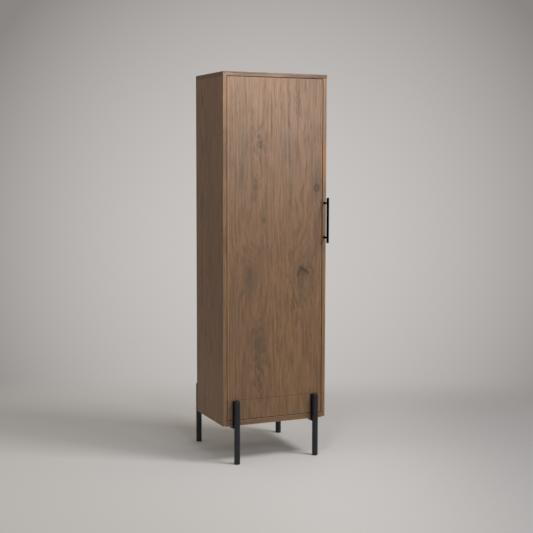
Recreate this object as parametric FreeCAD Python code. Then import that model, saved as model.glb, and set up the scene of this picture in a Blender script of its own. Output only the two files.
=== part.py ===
import FreeCAD, Part
import os

# A tall storage cabinet with one door, on four round steel legs.
# Millimetres, +Z up, front towards -Y, left and right as seen from the front.
# The origin is on the floor, under the middle of the whole object.

# Body, without legs
body_width = 516.0
body_depth = 342.0
body_height = 1600.0
floor_clearance = 176.0

# Boards
board_thickness = 18.0
base_thickness = 25.0
base_drop = 3.0
back_thickness = 6.0
back_inset = 10.0
back_groove_depth = 8.0
edge_easing = 1.0

# Gaps that show as dark lines
shadow_gap = 3.0
seam_gap = 1.0
stop_gap = 1.5

# Door stile, the narrow strip that carries the handle
stile_width = 18.0
tongue_thickness = 6.0
tongue_depth = 9.0

# Legs of round tube on flat bars
leg_diameter = 27.0
leg_wall = 2.0
leg_rise = 114.0
leg_end_disc = 3.0
front_leg_inset = 60.0
rear_leg_inset = 43.0
rear_leg_offset = 90.0
leg_bar_width = 30.0
leg_bar_thickness = 6.0
rail_width = 30.0
rail_thickness = 10.0
gusset_length = 34.0
gusset_height = 16.0
gusset_thickness = 6.0
gusset_sag_share = 0.75
rail_screw_inset = 52.0
spacer_diameter = 16.0
spacer_height = 80.0
glide_flange = 5.0
glide_stem = 18.0
glide_edge = 1.5

# Handle
handle_spacing = 160.0
handle_length = 210.0
handle_height = 930.0
handle_projection = 35.0
handle_bar_diameter = 12.0
handle_post_diameter = 9.0
handle_bar_easing = 0.8

# Pivot hinges let into the door's upper and lower edges
hinge_edge_distance = 20.0
hinge_front_distance = 8.0
hinge_leaf_length = 52.0
hinge_leaf_width = 10.0
hinge_leaf_thickness = 3.0
hinge_leaf_overhang = 7.0
hinge_pin_diameter = 5.0
hinge_washer_diameter = 9.5
hinge_washer_thickness = 0.8
hinge_screw_first = 16.0
hinge_screw_pitch = 18.0
door_over_legs = 2.0

# Shelves
shelf_count = 4
shelf_front_setback = 40.0
shelf_back_clearance = 2.0
shelf_side_clearance = 1.0
pin_diameter = 5.0
pin_depth = 8.0
pin_reach = 8.0
pin_hole_depth = 10.0
pin_hole_pitch = 32.0
pin_holes_each_way = 2
pin_row_inset = 60.0

# Boards and blocks behind the lower front panel
cleat_width = 22.0
cleat_depth = 22.0

# Dowels and cam fittings
dowel_diameter = 8.0
dowel_length = 28.0
dowel_edge_distance = 40.0
cam_diameter = 15.0
cam_depth = 12.0
cam_setback = 34.0
cam_slot_width = 1.6
cam_slot_depth = 2.0
cam_bolt_diameter = 6.0
cam_bolt_thread = 10.0
cam_row_inset = 80.0

# Magnetic catch behind the stile side of the door
catch_height = 930.0
catch_length = 46.0
catch_width = 14.0
catch_depth = 18.0
magnet_length = 30.0
magnet_width = 8.0
magnet_depth = 12.0
strike_length = 38.0
strike_thickness = 1.2
bumper_diameter = 8.0
bumper_thickness = 1.2
bumper_end_distance = 60.0

# Angle bracket for a wall fixing
bracket_width = 50.0
bracket_leg = 35.0
bracket_thickness = 2.0
wall_hole_diameter = 6.0
wall_hole_drop = 22.0
bracket_screw_spacing = 30.0

# Fasteners: shank diameter, head diameter, length
small_screw_diameter = 3.0
small_screw_head = 5.6
small_screw_length = 13.0
cleat_screw_diameter = 4.0
cleat_screw_head = 8.0
cleat_screw_length = 34.0
rail_screw_length = 30.0
handle_screw_diameter = 4.0
handle_screw_head = 7.6
handle_screw_grip = 10.0
bolt_diameter = 6.0
bolt_head_diameter = 12.0
bolt_head_height = 4.0
bolt_end_distance = 22.0

# Clearances
slide_fit = 0.2
screw_fit = 0.1
pivot_fit = 0.05
pivot_play = 0.1
weld_gap = 0.1
touch_gap = 0.3
overrun = 5.0

# Widths
half_width = body_width / 2
inner_half = half_width - board_thickness
door_left = shadow_gap - inner_half
door_right = inner_half - shadow_gap
stile_middle = half_width - stile_width / 2

# Depths
leg_radius = leg_diameter / 2
front_leg_offset = leg_bar_thickness + leg_radius
front_reach = max(handle_projection + handle_bar_diameter / 2, front_leg_offset + leg_radius)
rear_reach = rear_leg_offset + leg_radius
front_y = front_reach - (front_reach + body_depth + rear_reach) / 2
back_y = front_y + body_depth
door_back_y = front_y + board_thickness
stop_y = door_back_y + stop_gap
back_panel_rear = back_y - back_inset
back_panel_front = back_panel_rear - back_thickness
shelf_front = front_y + shelf_front_setback
shelf_back = back_panel_front - shelf_back_clearance
front_leg_y = front_y - front_leg_offset
rear_leg_y = back_y + rear_leg_offset

# Heights
body_z = floor_clearance
top_z = body_z + body_height
top_under = top_z - board_thickness
base_z = body_z - base_drop
base_top = base_z + base_thickness
leg_top = body_z + leg_rise
apron_bottom = base_top + shadow_gap
deck_top = leg_top + door_over_legs
deck_under = deck_top - board_thickness
door_bottom = deck_top + seam_gap
door_top = top_under - shadow_gap
handle_middle = body_z + handle_height
catch_middle = body_z + catch_height
rail_under = base_z - rail_thickness
spacer_z = body_z + spacer_height

# Pivot axis
pivot_x = door_left + hinge_edge_distance
pivot_y = front_y + hinge_front_distance
upper_proud = (shadow_gap - hinge_washer_thickness - pivot_play) / 2
lower_proud = (seam_gap - hinge_washer_thickness - pivot_play) / 2

sides = (-1, 1)


def vector(point):
    return FreeCAD.Vector(*point)


def block(corner, opposite):
    """A block between two opposite corners, in any order."""
    low = [min(pair) for pair in zip(corner, opposite)]
    size = [abs(a - b) for a, b in zip(corner, opposite)]
    return Part.makeBox(*size, vector(low))


def rod(diameter, start, end):
    """A round bar between the middles of its two ends."""
    path = vector(end) - vector(start)
    return Part.makeCylinder(diameter / 2, path.Length, vector(start), path)


def screw(head, way, length, diameter, head_diameter, spare=0):
    """A countersunk screw, flush at the middle of its head."""
    shank = diameter / 2 + spare
    rim = head_diameter / 2 + spare
    cone = Part.makeCone(rim, shank, rim - shank, vector(head), vector(way))
    body = Part.makeCylinder(shank, length + spare, vector(head), vector(way))
    return cone.fuse(body).removeSplitter()


def bolt(under_head, way, length, spare=0):
    """A cheese-headed bolt, measured from under its head."""
    start = vector(under_head)
    shank = Part.makeCylinder(bolt_diameter / 2 + spare, length, start, vector(way))
    head = Part.makeCylinder(bolt_head_diameter / 2, bolt_head_height, start, vector(way) * -1)
    return shank.fuse(head).removeSplitter()


def group(solids):
    return Part.makeCompound(solids)


def in_plane(edge, axis, value):
    """Whether an edge lies in a plane that is square to an axis."""
    return all(abs(getattr(corner.Point, axis) - value) < screw_fit for corner in edge.Vertexes)


def ease_front(shape, y=front_y, seam_z=None):
    """Take the sharpness off the edges that lie in a front plane, but not beside a fine seam."""
    edges = [edge for edge in shape.Edges
             if in_plane(edge, "y", y) and not (seam_z and in_plane(edge, "z", seam_z))]
    return shape.makeChamfer(edge_easing, edges)


# Places of what repeats

def fixing_rows(inset):
    """The two depths at which fixings stand in a full-depth board."""
    return (front_y + inset, back_y - inset)


def leg_places():
    """Each leg's side, axis x and axis y, front pair first."""
    front = [(side, side * (half_width - front_leg_inset), front_leg_y) for side in sides]
    rear = [(side, side * (half_width - rear_leg_inset), rear_leg_y) for side in sides]
    return front + rear


def shelf_underside(index):
    """Underside of a shelf, counted from 0 at the bottom."""
    pitch = (top_under - deck_top) / (shelf_count + 1)
    return deck_top + pitch * (index + 1) - board_thickness / 2


# Dowels and cam fittings

def dowels(spare=0):
    """Wooden dowels at the corners of the body and at the inner boards."""
    solids = []
    half = dowel_length / 2 + spare
    diameter = dowel_diameter + 2 * spare
    for side in sides:
        edge_middle = side * (half_width - board_thickness / 2)
        for y in fixing_rows(dowel_edge_distance):
            solids.append(rod(diameter, (edge_middle, y, top_under - half),
                              (edge_middle, y, top_under + half / 2)))
        levels = [(base_z + base_top) / 2, deck_top - board_thickness / 2]
        places = [(y, z) for z in levels for y in fixing_rows(dowel_edge_distance)]
        places += [(back_y - board_thickness / 2, base_top + dowel_edge_distance / 2),
                   (back_y - board_thickness / 2, deck_under - dowel_edge_distance / 2)]
        for y, z in places:
            solids.append(rod(diameter, (side * (inner_half - half), y, z),
                              (side * (inner_half + half / 2), y, z)))
    return solids


def cam_places():
    """Middle of each cam's mouth, the way into the board, and the way to the joint."""
    places = []
    for side in sides:
        for y in fixing_rows(cam_row_inset):
            places.append(((side * inner_half, y, top_under - cam_setback), (side, 0, 0), (0, 0, 1),
                           (side * (half_width - board_thickness / 2), y, top_under)))
            places.append(((side * (inner_half - cam_setback), y, base_z), (0, 0, 1), (side, 0, 0),
                           (side * inner_half, y, (base_z + base_top) / 2)))
    return places


def cam_bolts(spare=0):
    """Bolts that stand in one board and reach into the cam of the other."""
    solids = []
    for mouth, inward, way, joint in cam_places():
        start = vector(joint) + vector(way) * (cam_bolt_thread + spare)
        end = vector(joint) - vector(way) * cam_setback
        solids.append(rod(cam_bolt_diameter + 2 * spare, start, end))
    return solids


def cam_pockets():
    """Round pockets for the cams."""
    return [rod(cam_diameter + 2 * slide_fit, vector(mouth) - vector(inward) * overrun,
                vector(mouth) + vector(inward) * (cam_depth + slide_fit))
            for mouth, inward, way, joint in cam_places()]


def cam_discs():
    """Cams with a screwdriver slot, open towards their bolts."""
    solids = []
    for mouth, inward, way, joint in cam_places():
        disc = rod(cam_diameter, mouth, vector(mouth) + vector(inward) * cam_depth)
        middle = vector(joint) - vector(way) * cam_setback
        reach = middle + vector(way) * cam_diameter
        disc = disc.cut(rod(cam_bolt_diameter + 2 * slide_fit, middle - vector(way) * slide_fit, reach))
        across = FreeCAD.Vector(0, cam_slot_width / 2, 0)
        along = vector(way) * cam_diameter
        slot = block(vector(mouth) - across - along,
                     vector(mouth) + across + along + vector(inward) * cam_slot_depth)
        solids.append(disc.cut(slot))
    return solids


# Shelf pins

def pin_rows():
    """Depths of the two rows of pin holes."""
    return (shelf_front + pin_row_inset, shelf_back - pin_row_inset)


def pin_heights(index):
    """Every height at which a shelf's pins can stand, the one in use in the middle."""
    in_use = shelf_underside(index) - pin_diameter / 2
    steps = range(-pin_holes_each_way, pin_holes_each_way + 1)
    return [in_use + step * pin_hole_pitch for step in steps]


def pin_holes(side):
    """Drilled holes in one side panel."""
    holes = []
    for index in range(shelf_count):
        for z in pin_heights(index):
            for y in pin_rows():
                holes.append(rod(pin_diameter + 2 * screw_fit, (side * (inner_half - overrun), y, z),
                                 (side * (inner_half + pin_hole_depth), y, z)))
    return holes


def shelf_pins():
    """A pin with a thin collar under each corner of each shelf."""
    solids = []
    collar = shelf_side_clearance - slide_fit
    for index in range(shelf_count):
        z = pin_heights(index)[pin_holes_each_way]
        for side in sides:
            for y in pin_rows():
                pin = rod(pin_diameter, (side * (inner_half - pin_reach), y, z),
                          (side * (inner_half + pin_depth), y, z))
                ring = rod(pin_diameter + 2 * collar, (side * (inner_half - collar), y, z),
                           (side * inner_half, y, z))
                solids.append(pin.fuse(ring).removeSplitter())
    return group(solids)


# Boards of the body

def side_panel(side):
    """Full height at the left; set back behind the door's stile at the right."""
    front = front_y if side < 0 else stop_y
    panel = block((side * inner_half, front, body_z), (side * half_width, back_y, top_under))
    if side < 0:
        panel = ease_front(panel)
    groove = block((side * (inner_half - overrun), back_panel_front - slide_fit, deck_top - back_groove_depth),
                   (side * (inner_half + back_groove_depth), back_panel_rear + slide_fit, top_z))
    cuts = [groove] + pin_holes(side) + dowels(screw_fit) + cam_bolts(screw_fit) + cam_pockets()
    if side > 0:
        cuts += catch_screws(screw_fit)
    return panel.cut(cuts)


def corner_block():
    """The right front corner beside the lower front panel, in line with the stile."""
    shape = block((inner_half, front_y, body_z), (half_width, stop_y, deck_top))
    return ease_front(shape, seam_z=deck_top)


def top_board():
    shape = block((-half_width, front_y, top_under), (half_width, back_y, top_z))
    upper = [edge for edge in shape.Edges if in_plane(edge, "z", top_z)]
    shape = shape.makeChamfer(edge_easing, upper)
    groove = block((-inner_half - back_groove_depth, back_panel_front - slide_fit, top_under - overrun),
                   (inner_half + back_groove_depth, back_panel_rear + slide_fit,
                    top_under + back_groove_depth))
    leaf_pocket = hinge_leaf_shape(top_under - overrun, top_under - upper_proud + hinge_leaf_thickness,
                                   screw_fit)
    cuts = [groove, leaf_pocket] + dowels(screw_fit) + cam_bolts(screw_fit)
    return shape.cut(cuts + fixed_leaf_screws(screw_fit) + bracket_screws(screw_fit))


def base_board():
    """Thicker bottom board, hanging a little below the side panels."""
    shape = ease_front(block((-inner_half, front_y, base_z), (inner_half, back_y, base_top)))
    cuts = dowels(screw_fit) + cam_bolts(screw_fit) + cam_pockets() + rail_screws(screw_fit)
    return shape.cut(cuts)


def deck_board():
    """Fixed floor of the cupboard, behind and level with the lower front panel."""
    shape = block((-inner_half, door_back_y, deck_under), (inner_half, back_y, deck_top))
    groove = block((-half_width, back_panel_front - slide_fit, deck_top - back_groove_depth),
                   (half_width, back_panel_rear + slide_fit, deck_top + overrun))
    return shape.cut([groove] + dowels(screw_fit))


def apron_panel():
    """Fixed lower front panel, which the front legs are bolted to."""
    shape = block((door_left, front_y, apron_bottom), (door_right, door_back_y, deck_top))
    shape = ease_front(shape, seam_z=deck_top)
    leaf_pocket = hinge_leaf_shape(deck_top + lower_proud - hinge_leaf_thickness, deck_top + overrun,
                                   screw_fit)
    cuts = [leaf_pocket] + fixed_leaf_screws(screw_fit) + apron_screws(screw_fit) + leg_bolts(screw_fit)
    return shape.cut(cuts)


def apron_cleat(side):
    """Upright batten that holds the lower front panel from behind."""
    shape = block((side * inner_half, stop_y if side > 0 else door_back_y, base_top),
                  (side * (inner_half - cleat_width), door_back_y + cleat_depth, deck_under))
    if side > 0:
        shape = shape.fuse(block((inner_half, door_back_y, base_top),
                                 (inner_half - cleat_width, stop_y, deck_under))).removeSplitter()
    return shape.cut(apron_screws(screw_fit))


def rear_stretcher():
    """Board across the back below the deck, which the rear legs are bolted to."""
    shape = block((-inner_half, back_y - board_thickness, base_top), (inner_half, back_y, deck_under))
    return shape.cut(dowels(screw_fit) + spacer_bolts(screw_fit))


def back_panel():
    """Thin panel held in grooves on all four sides."""
    reach = back_groove_depth - slide_fit
    shape = block((-inner_half - reach, back_panel_front, deck_top - reach),
                  (inner_half + reach, back_panel_rear, top_under + reach))
    return shape.cut(wall_hole())


def shelf(index):
    half = inner_half - shelf_side_clearance
    z = shelf_underside(index)
    return ease_front(block((-half, shelf_front, z), (half, shelf_back, z + board_thickness)), shelf_front)


def apron_screws(spare=0):
    """Screws through the cleats into the lower front panel."""
    solids = []
    for side in sides:
        for z in (apron_bottom + cleat_width / 2, deck_under - cleat_width / 2):
            head = (side * (door_right - cleat_width / 2), door_back_y + cleat_depth, z)
            solids.append(screw(head, (0, -1, 0), cleat_screw_length, cleat_screw_diameter,
                                cleat_screw_head, spare))
    return solids


# Pivot hinges

def hinge_leaf_shape(low_z, high_z, spare=0):
    """Plan of a hinge leaf, round about its pin."""
    half = hinge_leaf_width / 2 + spare
    nose = pivot_x - hinge_leaf_overhang + half - spare
    tail = pivot_x - hinge_leaf_overhang + hinge_leaf_length + spare
    leaf = block((nose, pivot_y - half, low_z), (tail, pivot_y + half, high_z))
    return leaf.fuse(rod(2 * half, (nose, pivot_y, low_z), (nose, pivot_y, high_z))).removeSplitter()


def leaf_screw_places():
    return [pivot_x + hinge_screw_first + step * hinge_screw_pitch for step in range(2)]


def leaf_screws(z, way, spare=0):
    """The two screws of one leaf, heads flush with its face."""
    return [screw((x, pivot_y, z), (0, 0, way), small_screw_length, small_screw_diameter,
                  small_screw_head, spare) for x in leaf_screw_places()]


def fixed_leaf_screws(spare=0):
    return (leaf_screws(top_under - upper_proud, 1, spare)
            + leaf_screws(deck_top + lower_proud, -1, spare))


def door_leaf_screws(spare=0):
    return (leaf_screws(door_top + upper_proud, -1, spare)
            + leaf_screws(door_bottom - lower_proud, 1, spare))


def pivot_pin(spare, upper):
    """Pin fixed in the body's leaf and running in the door's leaf."""
    diameter = hinge_pin_diameter + 2 * spare
    if upper:
        ends = (door_top + upper_proud - hinge_leaf_thickness, top_under - upper_proud + hinge_leaf_thickness)
    else:
        ends = (deck_top + lower_proud - hinge_leaf_thickness, door_bottom - lower_proud + hinge_leaf_thickness)
    return rod(diameter, (pivot_x, pivot_y, ends[0]), (pivot_x, pivot_y, ends[1]))


def fixed_leaf(upper):
    if upper:
        low = top_under - upper_proud
        leaf = hinge_leaf_shape(low, low + hinge_leaf_thickness)
    else:
        high = deck_top + lower_proud
        leaf = hinge_leaf_shape(high - hinge_leaf_thickness, high)
    return leaf.cut([pivot_pin(0, upper)] + fixed_leaf_screws(screw_fit))


def door_leaf(upper):
    if upper:
        high = door_top + upper_proud
        leaf = hinge_leaf_shape(high - hinge_leaf_thickness, high)
    else:
        low = door_bottom - lower_proud
        leaf = hinge_leaf_shape(low, low + hinge_leaf_thickness)
    return leaf.cut([pivot_pin(pivot_fit, upper)] + door_leaf_screws(screw_fit))


def hinge_washers():
    """Thin washers between the leaves, lying on the body's leaf."""
    solids = []
    for low in (top_under - upper_proud - hinge_washer_thickness, deck_top + lower_proud):
        high = low + hinge_washer_thickness
        washer = rod(hinge_washer_diameter, (pivot_x, pivot_y, low), (pivot_x, pivot_y, high))
        hole = rod(hinge_pin_diameter + 2 * pivot_fit, (pivot_x, pivot_y, low - overrun),
                   (pivot_x, pivot_y, high + overrun))
        solids.append(washer.cut(hole))
    return group(solids)


# Door

def door_panel():
    """Slab with a slot for the stile's tongue along its right edge."""
    shape = block((door_left, front_y, door_bottom), (door_right, door_back_y, door_top))
    shape = ease_front(shape, seam_z=door_bottom)
    slot = block((door_right - tongue_depth - slide_fit, door_back_y - tongue_thickness - slide_fit,
                  door_bottom - overrun), (door_right + overrun, door_back_y + overrun, door_top + overrun))
    upper_pocket = hinge_leaf_shape(door_top + upper_proud - hinge_leaf_thickness, door_top + overrun,
                                    screw_fit)
    lower_pocket = hinge_leaf_shape(door_bottom - overrun, door_bottom - lower_proud + hinge_leaf_thickness,
                                    screw_fit)
    cuts = [slot, upper_pocket, lower_pocket] + door_leaf_screws(screw_fit) + strike_screws(screw_fit)
    return shape.cut(cuts)


def door_stile():
    """Narrow strip over the right side panel, joined to the slab by a tongue."""
    strip = block((half_width - stile_width, front_y, door_bottom),
                  (half_width, door_back_y, top_under - seam_gap))
    strip = ease_front(strip, seam_z=door_bottom)
    tongue = block((door_right - tongue_depth, door_back_y - tongue_thickness, door_bottom),
                   (half_width - stile_width + overrun, door_back_y, door_top))
    return strip.fuse(tongue).removeSplitter().cut(handle_screws(screw_fit))


def post_heights():
    return [handle_middle - handle_spacing / 2, handle_middle + handle_spacing / 2]


def handle_bar():
    """Round pull bar, parallel to the door's edge, on two posts."""
    y = front_y - handle_projection
    bar = rod(handle_bar_diameter, (stile_middle, y, handle_middle - handle_length / 2),
              (stile_middle, y, handle_middle + handle_length / 2))
    ends = [edge for edge in bar.Edges if isinstance(edge.Curve, Part.Circle)]
    bar = bar.makeFillet(handle_bar_easing, ends)
    return bar.cut([post_core(z, weld_gap) for z in post_heights()])


def post_core(z, spare=0):
    """Round post from the stile's face into the bar."""
    end_y = front_y - handle_projection
    return rod(handle_post_diameter + 2 * spare, (stile_middle, front_y, z), (stile_middle, end_y, z))


def handle_post(upper):
    """Post with a tapped hole for its screw."""
    z = post_heights()[1 if upper else 0]
    return post_core(z).cut(handle_screws(screw_fit))


def handle_screws(spare=0):
    """Countersunk screws from the stile's back into the posts."""
    length = board_thickness + handle_screw_grip
    return [screw((stile_middle, door_back_y, z), (0, -1, 0), length, handle_screw_diameter,
                  handle_screw_head, spare) for z in post_heights()]


def door_bumpers():
    """Soft discs on the stile's back, which meet the edge of the side panel."""
    heights = (door_bottom + bumper_end_distance, door_top - bumper_end_distance)
    return group([rod(bumper_diameter, (stile_middle, door_back_y, z),
                      (stile_middle, door_back_y + bumper_thickness, z)) for z in heights])


# Magnetic catch

def catch_front():
    """Front of the catch, just clear of the strike."""
    return door_back_y + strike_thickness + touch_gap


def catch_magnet(spare=0):
    """Magnet block, open to the front of its housing."""
    middle_x = inner_half - catch_width / 2
    half_x = magnet_width / 2 + spare
    half_z = magnet_length / 2 + spare
    front = catch_front()
    return block((middle_x - half_x, front - (overrun if spare else 0), catch_middle - half_z),
                 (middle_x + half_x, front + magnet_depth + spare, catch_middle + half_z))


def catch_screws(spare=0):
    """Screws from the catch into the right side panel."""
    x = inner_half - catch_width
    y = catch_front() + catch_depth / 2
    reach = (magnet_length + catch_length) / 4
    return [screw((x, y, catch_middle + way * reach), (1, 0, 0), catch_width + small_screw_length / 2,
                  small_screw_diameter, small_screw_head, spare) for way in sides]


def catch_housing():
    front = catch_front()
    shape = block((inner_half - catch_width, front, catch_middle - catch_length / 2),
                  (inner_half, front + catch_depth, catch_middle + catch_length / 2))
    return shape.cut([catch_magnet(slide_fit)] + catch_screws(screw_fit))


def strike_screws(spare=0):
    x = door_right - catch_width / 2 - tongue_depth
    return [screw((x, door_back_y + strike_thickness, catch_middle), (0, -1, 0), small_screw_length,
                  small_screw_diameter, small_screw_head, spare)]


def catch_strike():
    """Steel plate on the door's back, across the joint of slab and tongue."""
    shape = block((door_right - catch_width - tongue_depth, door_back_y, catch_middle - strike_length / 2),
                  (inner_half - touch_gap, door_back_y + strike_thickness, catch_middle + strike_length / 2))
    return shape.cut(strike_screws(screw_fit))


# Wall fixing

def wall_hole():
    """Hole for a wall fixing, through the bracket and the back panel."""
    z = top_under - wall_hole_drop
    return rod(wall_hole_diameter, (0, back_panel_front - bracket_thickness - overrun, z),
               (0, back_panel_rear + overrun, z))


def bracket_screws(spare=0):
    y = back_panel_front - bracket_leg / 2
    return [screw((side * bracket_screw_spacing / 2, y, top_under - bracket_thickness), (0, 0, 1),
                  small_screw_length, small_screw_diameter, small_screw_head, spare) for side in sides]


def wall_bracket():
    """Steel angle under the top board, against the back panel."""
    half = bracket_width / 2
    upright = block((-half, back_panel_front - bracket_thickness, top_under - bracket_leg),
                    (half, back_panel_front, top_under))
    flat = block((-half, back_panel_front - bracket_leg, top_under - bracket_thickness),
                 (half, back_panel_front, top_under))
    angle = upright.fuse(flat).removeSplitter()
    return angle.cut([wall_hole()] + bracket_screws(screw_fit))


# Legs

def leg(place):
    """Tube closed by a disc at its top and open to the glide below."""
    side, x, y = place
    tube = rod(leg_diameter, (x, y, glide_flange), (x, y, leg_top))
    bore = rod(leg_diameter - 2 * leg_wall, (x, y, 0), (x, y, leg_top - leg_end_disc))
    return tube.cut([bore] + spacer_bolts(screw_fit))


def foot_glides():
    """Plastic glides pushed into the legs, with eased lower edges."""
    solids = []
    for side, x, y in leg_places():
        flange = rod(leg_diameter, (x, y, 0), (x, y, glide_flange))
        low = [edge for edge in flange.Edges if edge.BoundBox.ZMax < glide_edge]
        flange = flange.makeFillet(glide_edge, low)
        stem = rod(leg_diameter - 2 * (leg_wall + slide_fit), (x, y, glide_flange / 2),
                   (x, y, glide_flange + glide_stem))
        solids.append(flange.fuse(stem).removeSplitter())
    return group(solids)


def leg_bar(place):
    """Flat bar welded behind a front leg and bolted to the lower front panel."""
    side, x, y = place
    shape = block((x - leg_bar_width / 2, front_y - leg_bar_thickness, rail_under),
                  (x + leg_bar_width / 2, front_y, leg_top))
    return shape.cut(leg_bolts(screw_fit))


def leg_rail(side):
    """Flat bar under the base board, from the front leg's bar to the rear leg."""
    front_x = side * (half_width - front_leg_inset)
    rear_x = side * (half_width - rear_leg_inset)
    half = rail_width / 2
    outline = [(front_x - half, front_y), (front_x + half, front_y),
               (rear_x + half, rear_leg_y), (rear_x - half, rear_leg_y)]
    points = [FreeCAD.Vector(x, y, rail_under) for x, y in outline]
    face = Part.Face(Part.makePolygon(points + points[:1]))
    bar = face.extrude(FreeCAD.Vector(0, 0, rail_thickness))
    tube = rod(leg_diameter + 2 * weld_gap, (rear_x, rear_leg_y, 0), (rear_x, rear_leg_y, leg_top))
    return bar.cut([tube] + rail_screws(screw_fit))


def leg_gussets():
    """Curved corner plates between the front legs and the rails."""
    solids = []
    for side, x, y in leg_places()[:2]:
        start = y + leg_radius
        left = x - gusset_thickness / 2
        corner = FreeCAD.Vector(left, start, rail_under)
        along = FreeCAD.Vector(left, start + gusset_length, rail_under)
        down = FreeCAD.Vector(left, start, rail_under - gusset_height)
        middle = corner + (along + down - corner * 2) * (gusset_sag_share / 2)
        sag = Part.Arc(along, middle, down).toShape()
        wire = Part.Wire([Part.makeLine(corner, along), sag, Part.makeLine(down, corner)])
        solids.append(Part.Face(wire).extrude(FreeCAD.Vector(gusset_thickness, 0, 0)))
    return group(solids)


def rear_spacers():
    """Round spacers that hold the rear legs off the back."""
    solids = []
    for side, x, y in leg_places()[2:]:
        spacer = rod(spacer_diameter, (x, back_y, spacer_z), (x, y, spacer_z))
        tube = rod(leg_diameter + 2 * weld_gap, (x, y, base_z), (x, y, leg_top))
        solids.append(spacer.cut([tube] + spacer_bolts(screw_fit)))
    return group(solids)


def leg_bolts(spare=0):
    """Bolts from inside through the lower front panel into the leg bars."""
    length = board_thickness + leg_bar_thickness - touch_gap
    return [bolt((x, door_back_y, z), (0, -1, 0), length, spare)
            for side, x, y in leg_places()[:2]
            for z in (apron_bottom + bolt_end_distance, deck_under - bolt_end_distance / 2)]


def spacer_bolts(spare=0):
    """Bolts from inside through the stretcher and spacers into the rear legs."""
    length = board_thickness + rear_leg_offset - leg_radius + leg_wall + bolt_diameter / 2
    return [bolt((x, back_y - board_thickness, spacer_z), (0, 1, 0), length, spare)
            for side, x, y in leg_places()[2:]]


def rail_screws(spare=0):
    """Countersunk screws from below through the rails into the base board."""
    solids = []
    run = rear_leg_y - front_y
    for side in sides:
        for y in fixing_rows(rail_screw_inset) + ((front_y + back_y) / 2,):
            share = (y - front_y) / run
            x = side * (half_width - front_leg_inset - share * (rear_leg_inset - front_leg_inset))
            solids.append(screw((x, y, rail_under), (0, 0, 1), rail_screw_length, cleat_screw_diameter,
                                cleat_screw_head, spare))
    return solids


def all_nodes():
    """Every piece under the name of its node."""
    nodes = {
        "left_side_panel": side_panel(-1),
        "right_side_panel": side_panel(1),
        "right_corner_block": corner_block(),
        "top_board": top_board(),
        "base_board": base_board(),
        "deck_board": deck_board(),
        "apron_panel": apron_panel(),
        "left_apron_cleat": apron_cleat(-1),
        "right_apron_cleat": apron_cleat(1),
        "rear_stretcher": rear_stretcher(),
        "back_panel": back_panel(),
        "shelf_pins": shelf_pins(),
        "panel_dowels": group(dowels()),
        "cam_bolts": group(cam_bolts()),
        "cam_discs": group(cam_discs()),
        "apron_screws": group(apron_screws()),
        "fixed_leaf_screws": group(fixed_leaf_screws()),
        "door_leaf_screws": group(door_leaf_screws()),
        "hinge_washers": hinge_washers(),
        "door_panel": door_panel(),
        "door_stile": door_stile(),
        "handle_bar": handle_bar(),
        "handle_screws": group(handle_screws()),
        "door_bumpers": door_bumpers(),
        "catch_housing": catch_housing(),
        "catch_magnet": catch_magnet(),
        "catch_screws": group(catch_screws()),
        "catch_strike": catch_strike(),
        "strike_screw": group(strike_screws()),
        "wall_bracket": wall_bracket(),
        "bracket_screws": group(bracket_screws()),
        "foot_glides": foot_glides(),
        "leg_gussets": leg_gussets(),
        "rear_spacers": rear_spacers(),
        "leg_bolts": group(leg_bolts()),
        "spacer_bolts": group(spacer_bolts()),
        "rail_screws": group(rail_screws()),
    }
    for index in range(shelf_count):
        nodes["shelf_%d" % (index + 1)] = shelf(index)
    for name, upper in (("upper", True), ("lower", False)):
        nodes[name + "_hinge_fixed_leaf"] = fixed_leaf(upper)
        nodes[name + "_hinge_door_leaf"] = door_leaf(upper)
        nodes[name + "_hinge_pin"] = pivot_pin(0, upper)
        nodes[name + "_handle_post"] = handle_post(upper)
    names = ("front_left", "front_right", "rear_left", "rear_right")
    for name, place in zip(names, leg_places()):
        nodes[name + "_leg"] = leg(place)
        if name.startswith("front"):
            nodes[name + "_leg_bar"] = leg_bar(place)
    nodes["left_leg_rail"] = leg_rail(-1)
    nodes["right_leg_rail"] = leg_rail(1)
    return nodes


os.makedirs("parts", exist_ok=True)
for node_name, node_shape in all_nodes().items():
    node_shape.exportStep("parts/" + node_name + ".step")
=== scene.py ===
import math

import bmesh
import bpy
from bpy.props import FloatProperty, FloatVectorProperty, PointerProperty
from mathutils import Matrix, Vector


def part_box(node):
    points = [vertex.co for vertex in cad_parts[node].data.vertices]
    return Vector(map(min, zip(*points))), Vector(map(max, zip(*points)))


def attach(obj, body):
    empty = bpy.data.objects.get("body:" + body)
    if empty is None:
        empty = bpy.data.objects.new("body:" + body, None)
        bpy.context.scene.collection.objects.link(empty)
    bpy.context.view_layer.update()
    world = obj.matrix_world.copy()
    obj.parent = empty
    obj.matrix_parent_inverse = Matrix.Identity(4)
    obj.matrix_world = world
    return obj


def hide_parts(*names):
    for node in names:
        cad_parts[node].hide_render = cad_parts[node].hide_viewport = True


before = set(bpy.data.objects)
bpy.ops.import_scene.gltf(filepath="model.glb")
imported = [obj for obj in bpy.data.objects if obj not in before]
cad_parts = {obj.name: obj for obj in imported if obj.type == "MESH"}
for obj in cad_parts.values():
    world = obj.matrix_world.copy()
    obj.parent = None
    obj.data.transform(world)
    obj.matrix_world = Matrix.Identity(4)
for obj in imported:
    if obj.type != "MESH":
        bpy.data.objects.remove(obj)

bl_info = {
    "name": "Tall oak cabinet",
    "version": (1, 0, 0),
    "blender": (4, 5, 0),
    "location": "View3D > Sidebar > Cabinet",
    "description": "Finishes a tall stained oak cabinet on round black steel legs",
    "category": "Object",
}

MM = 0.001
UP = Vector((0, 0, 1))
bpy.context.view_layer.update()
LEGS = ("front_left_leg", "front_right_leg", "rear_left_leg", "rear_right_leg")
POSTS = ("upper_handle_post", "lower_handle_post")


# Sizes and colours that a user would change

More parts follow.
